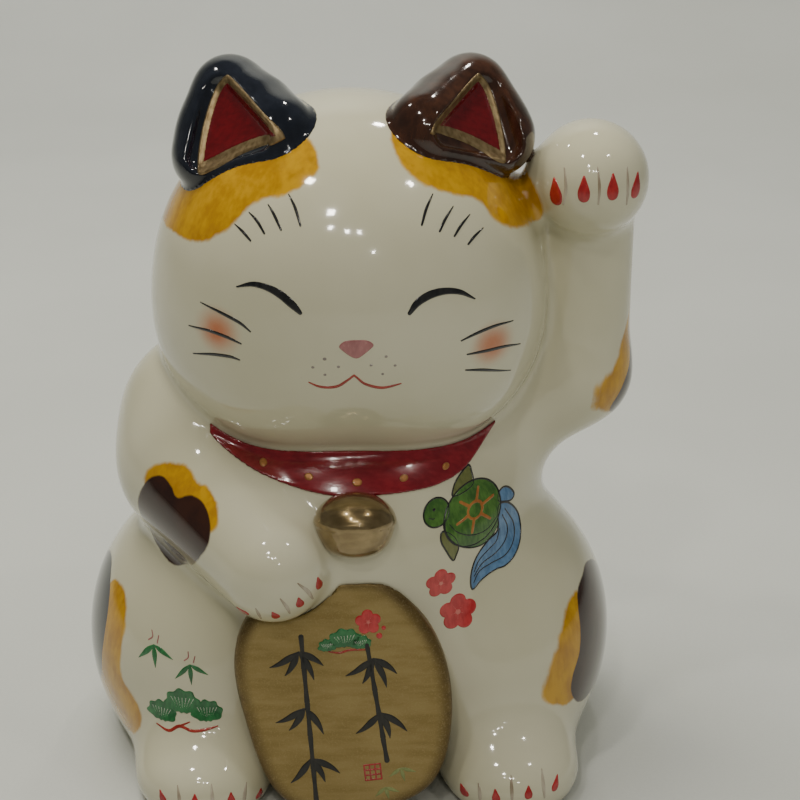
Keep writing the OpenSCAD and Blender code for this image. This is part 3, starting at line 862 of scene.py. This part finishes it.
# ---------------------------------------------------------------------------------------
# The turtle of long life, printed on the chest: green shell with an orange net, and a tail
# of blue weed streaming behind it, all outlined in black.
leaf_green = enamel_finish("leaf_green", (0.035, 0.10, 0.018), (0.085, 0.20, 0.032))
dull_green = enamel_finish("dull_green", (0.10, 0.115, 0.030), (0.16, 0.17, 0.050))
weed_blue = enamel_finish("weed_blue", (0.055, 0.14, 0.27), (0.13, 0.25, 0.42))
net_orange = enamel_finish("net_orange", (0.32, 0.10, 0.018), (0.42, 0.17, 0.035))
top_flipper = [(25.2, 78.4), (25.3, 80.4), (26.6, 82.0), (28.5, 83.2), (29.4, 83.3), (29.9, 82.2),
               (30.0, 79.4)]
low_flipper = [(22.3, 71.4), (21.9, 69.2), (23.2, 66.4), (24.9, 63.5), (25.7, 64.6), (26.3, 66.8), (25, 69.6)]
weed = [(36.6, 72.2), (38.2, 72.6), (40.2, 71.2), (42.2, 68), (42.9, 64.2), (42.3, 61), (40.6, 58.8),
        (38.4, 57.7), (36.4, 57.6), (34.2, 57), (32, 55.8), (30, 54.2), (29.5, 57), (30.2, 60.6),
        (31.6, 63.2), (34, 65.4), (36.6, 67)]
stub = [(36.8, 75.2), (38.2, 75.8), (39.8, 75), (41.2, 73), (40.4, 72), (38.2, 72.8), (36.8, 73.6)]
shell = oval(30.0, 73.1, 14.6, 14.2)
rim = filled([(22.8, 74.6), (22.9, 72), (23.7, 69.4), (25.8, 67.2), (29, 65.4), (32.4, 65), (35.4, 66.4),
              (36.8, 69), (35, 74), (29, 78)])
turtle_face = oval(20.8, 75.9, 6.3, 6.3)
enamel("turtle_weed", [filled(weed), filled(stub)], skin, weed_blue, lift=0.06)
enamel("turtle_fins", [filled(top_flipper), filled(low_flipper)], skin, dull_green, lift=0.06)
enamel("turtle_shell", [turtle_face], skin, leaf_green, lift=0.07)
enamel("turtle_rim", [rim], skin, leaf_green, lift=0.1)
enamel("turtle_dome", [shell], skin, leaf_green, lift=0.14)
net = [stroke([(30.6 + 1.9 * np.cos(t), 74 + 1.9 * np.sin(t), 0.9) for t in np.linspace(0, 6.28, 9)])]
for t in np.radians(range(20, 380, 60)):
    net.append(stroke([(30.6 + 1.9 * np.cos(t), 74 + 1.9 * np.sin(t), 1.0),
                       (30.6 + 5.0 * np.cos(t), 73.8 + 4.8 * np.sin(t), 0.9)]))
enamel("turtle_net", net, skin, net_orange, lift=0.19)


def ring(corners, width=0.42):
    """The outline of a filled shape."""
    line = bend(corners, steps=3)
    return stroke([(*c, width) for c in np.vstack([line, line[:1]])])


shell_line = [(30 + 7.4 * np.cos(t), 73.1 + 7.2 * np.sin(t)) for t in np.linspace(0, 5.8, 12)]
face_line = [(20.8 + 3.2 * np.cos(t), 75.9 + 3.2 * np.sin(t)) for t in np.linspace(0.3, 5.7, 9)]
lines = [ring(weed), ring(stub), ring(top_flipper), ring(low_flipper), ring(shell_line), ring(face_line),
         stroke([(24.0, 72.6, 0.4), (26, 70.3, 0.45), (29.6, 68.5, 0.45), (33.5, 68.4, 0.45),
                 (36.4, 70.4, 0.4)]),
         stroke([(22.9, 74.1, 0.4), (23.1, 71, 0.45), (25.5, 67.6, 0.45), (29.1, 65.5, 0.45),
                 (32.6, 65.1, 0.45), (35.6, 66.6, 0.4)]),
         stroke([(30.3, 55.8, 0.3), (31.8, 58.4, 0.35), (34.9, 59.4, 0.35), (38.6, 60.1, 0.35),
                 (40.8, 62.5, 0.35), (40.9, 66.4, 0.35), (38.6, 71, 0.3)]),
         stroke([(30.4, 57.4, 0.3), (32.3, 60, 0.35), (36.2, 61.6, 0.35), (38.6, 63.6, 0.35),
                 (39.2, 66.4, 0.35), (37.8, 70, 0.3)]),
         stroke([(30.4, 58.6, 0.3), (31.6, 61.2, 0.35), (34, 63, 0.35), (36.2, 64.4, 0.35), (37, 67, 0.3)]),
         stroke([(18.9, 75.1, 0.3), (19.9, 74.7, 0.3), (20.4, 74.9, 0.25)]), oval(20.2, 76.7, 0.8, 0.8)]
enamel("turtle_outline", lines, skin, black_line, lift=0.22, step=0.13)

# ---------------------------------------------------------------------------------------
# Two plum blossoms printed below the turtle: five round red petals and a paler eye.
blossom_red = enamel_finish("blossom_red", (0.40, 0.016, 0.020), (0.56, 0.045, 0.045))
blossom_pink = enamel_finish("blossom_pink", (0.55, 0.12, 0.10), (0.66, 0.21, 0.17))


def blossom(x, y, across, turn=18):
    petals = [(x + across * 0.29 * np.cos(np.radians(turn + 72 * n)),
               y + across * 0.29 * np.sin(np.radians(turn + 72 * n))) for n in range(5)]
    half = across / 2

    def shape(u, v):
        far = np.hypot(u - x, v - y) - across * 0.2
        for px, py in petals:
            far = np.minimum(far, np.hypot(u - px, v - py) - across * 0.215)
        return far
    return shape, (x - half - 0.4, y - half - 0.4, x + half + 0.4, y + half + 0.4)


def stamens(x, y, across):
    turns = np.radians(range(54, 414, 72))
    rays = [stroke([(x, y, 0.3), (x + across * 0.22 * np.cos(t), y + across * 0.22 * np.sin(t), 0.22)])
            for t in turns]
    return [oval(x, y, across * 0.16, across * 0.16)] + rays


enamel("blossoms", [blossom(21.9, 58.1, 7.6), blossom(26.3, 49.2, 9.4)], skin, blossom_red, lift=0.1)
enamel("blossom_eyes", stamens(21.9, 58.1, 7.6) + stamens(26.3, 49.2, 9.4), skin, blossom_pink, lift=0.16,
       step=0.13)

# ---------------------------------------------------------------------------------------
# Bamboo sprigs and a young pine printed on the haunch beside the resting paw.
pine_green = enamel_finish("pine_green", (0.012, 0.095, 0.028), (0.030, 0.19, 0.055))
pale_ray = enamel_finish("pale_ray", (0.62, 0.62, 0.52), (0.74, 0.74, 0.64))


def blade(x0, y0, x1, y1, wide):
    """A slim leaf from stem to point."""
    return stroke([(x0, y0, 0.2), (0.6 * x0 + 0.4 * x1, 0.6 * y0 + 0.4 * y1, wide), (x1, y1, 0.12)])


def sprig(x, y, size):
    return [blade(x, y, x - 4.2 * size, y - 4.4 * size, 1.3 * size),
            blade(x, y, x + 0.3 * size, y - 5.6 * size, 1.3 * size),
            blade(x, y, x + 4.9 * size, y - 2.6 * size, 1.3 * size)]


def cushion(x, y, wide, tall):
    """One cloud-shaped tuft of pine needles, scalloped along its top."""
    def shape(u, v):
        p, q = (u - x) / (wide / 2), (v - y) / tall
        body = np.hypot(p, np.where(q > 0, q, q * 2.6)) - 1 + 0.07 * np.cos(9 * np.arctan2(q, p))
        return body * tall * 0.8
    return shape, (x - wide * 0.62, y - tall * 0.7, x + wide * 0.62, y + tall * 1.25)


def needles(x, y, wide, tall):
    return [stroke([(x + wide * 0.05 * n, y - tall * 0.12, 0.2), (x + wide * 0.105 * n, y + tall * 0.5, 0.3)])
            for n in (-3, -2, -1, 0, 1, 2, 3)]


enamel("bamboo_sprigs", sprig(-49.8, 39.6, 1.0) + sprig(-40.6, 36.3, 0.92), skin, pine_green,
       lift=0.1, step=0.13)
enamel("sprig_stems", [stroke([(-51.2, 40.4, 0.3), (-50.1, 41.4, 0.3), (-50.3, 42.8, 0.25)]),
                       stroke([(-48.9, 40.2, 0.3), (-48.5, 42.0, 0.25)]),
                       stroke([(-42, 37.2, 0.3), (-41, 38, 0.3), (-41, 39.4, 0.25)]),
                       stroke([(-39.7, 36.9, 0.3), (-39.3, 38.4, 0.25)])],
       skin, nose_pink, lift=0.09, step=0.13)
tufts = [(-48.2, 22.0, 7.6, 3.6), (-42.8, 25.2, 9.2, 4.4), (-36.6, 23.4, 7.8, 3.8)]
enamel("haunch_pine", [cushion(*t) for t in tufts], skin, pine_green, lift=0.1)
enamel("haunch_pine_rays", [ray for t in tufts for ray in needles(*t)], skin, pale_ray, lift=0.16, step=0.13)
enamel("haunch_branch", [stroke([(-49.6, 19.4, 0.35), (-46.4, 18.9, 0.6), (-43.6, 20.4, 0.7),
                                 (-40.4, 19.8, 0.6), (-37, 20.2, 0.6), (-34, 20.8, 0.3)]),
                         stroke([(-43.6, 20.4, 0.5), (-41, 21.6, 0.3)])],
       skin, mouth_red, lift=0.1, step=0.13)

# ---------------------------------------------------------------------------------------
# The tablet's ornament. Where such tablets carry characters and a seal, this one carries
# two stems of bamboo in black ink, a pine and plum sprig above and a plain net square below.
on_tablet = {"flat": (tuple(tablet_across), tuple(tablet_up))}
drop = tablet_at @ tablet_across, tablet_at @ tablet_up


def set_out(mark):
    """A mark drawn about the tablet's middle, carried to where the tablet stands."""
    shape, (x0, y0, x1, y1) = mark
    return (lambda x, y: shape(x - drop[0], y - drop[1]),
            (x0 + drop[0], y0 + drop[1], x1 + drop[0], y1 + drop[1]))


def on_gold(name, marks, material, lift, step=0.16):
    enamel(name, [set_out(m) for m in marks], tablet, material, lift=lift, step=step, slot="gold_enamel",
           **on_tablet)


def ink_leaf(x, y, angle, long, wide=1.7):
    a = np.radians(angle)
    return stroke([(x, y, 0.3), (x + 0.35 * long * np.cos(a), y + 0.35 * long * np.sin(a), wide),
                   (x + 0.7 * long * np.cos(a - 0.05), y + 0.7 * long * np.sin(a - 0.05), wide * 0.7),
                   (x + long * np.cos(a - 0.12), y + long * np.sin(a - 0.12), 0.15)])


ink = enamel_finish("brush_ink", (0.006, 0.006, 0.006), (0.020, 0.018, 0.014), rough=0.34, sheen=0.2)
stems = []
for x, y, top, drift in ((-9.2, -27, 16.5, 0.03), (9.4, -18.5, 12.5, -0.05)):
    knots = np.linspace(y, top, 6)
    for low, high in zip(knots[:-1], knots[1:]):
        stems.append(stroke([(x + drift * (low - y), low + 0.35, 1.35),
                             (x + drift * ((low + high) / 2 - y), (low + high) / 2, 1.0),
                             (x + drift * (high - y), high - 0.35, 1.3)]))
# where each spray leaves its stem, and which ways its leaves point
sprays = [(-9.0, 12.4, (-150, -118, -62, -30)), (-9.1, -2.2, (-152, -124, -56)),
          (-9.2, -15.5, (-128, -60, -28)), (9.0, 8.6, (-146, -112, -66, -34)),
          (9.2, -5.6, (-138, -70, -36))]
leaves = [ink_leaf(x, y, angle, 8.2 - 1.1 * (n % 2))
          for x, y, turns in sprays for n, angle in enumerate(turns)]
on_gold("ink_bamboo", stems + leaves, ink, 0.12, 0.15)
tufts = [(-1.8, 12.6, 4.6, 2.3), (2.6, 13.6, 8.4, 3.4), (6.4, 12.4, 5.2, 2.5)]
on_gold("tablet_pine", [cushion(*t) for t in tufts], pine_green, 0.1)
on_gold("tablet_pine_rays", needles(2.6, 13.6, 8.0, 3.2) + needles(-1.8, 12.6, 4.2, 2.0)
        + needles(6.4, 12.4, 4.6, 2.2), pale_ray, 0.16, 0.13)
on_gold("tablet_branch", [stroke([(-1.6, 11.6, 0.3), (1, 11, 0.55), (3.6, 11.4, 0.55), (7.4, 11, 0.3)])],
        mouth_red, 0.1)
on_gold("tablet_blossom", [blossom(8.8, 18.0, 6.4), oval(12.4, 16.1, 1.1, 1.1), oval(11.1, 14.2, 1.5, 1.5)],
        blossom_red, 0.1)
on_gold("tablet_blossom_eye", stamens(8.8, 18.0, 6.4), blossom_pink, 0.16, 0.13)
net_square = [stroke([(3.6, -22.8 + 1.33 * n, 0.42), (7.6, -22.8 + 1.33 * n, 0.42)]) for n in range(4)]
net_square += [stroke([(3.6 + 1.33 * n, -22.8, 0.42), (3.6 + 1.33 * n, -18.8, 0.42)]) for n in range(4)]
on_gold("net_square", net_square, claw_red, 0.1, 0.13)
pale_leaf = enamel_finish("pale_leaf", (0.16, 0.19, 0.05), (0.24, 0.27, 0.085), rough=0.3)
on_gold("pale_leaves", [blade(x, y, *end, 1.0) for x, y, ends in (
    (12.6, -20.6, ((9.4, -22.6), (13.2, -24.2), (16.2, -22.0))),
    (8.2, -25.2, ((5.4, -27.4), (8.8, -28.4), (11.6, -26.8)))) for end in ends], pale_leaf, 0.08)
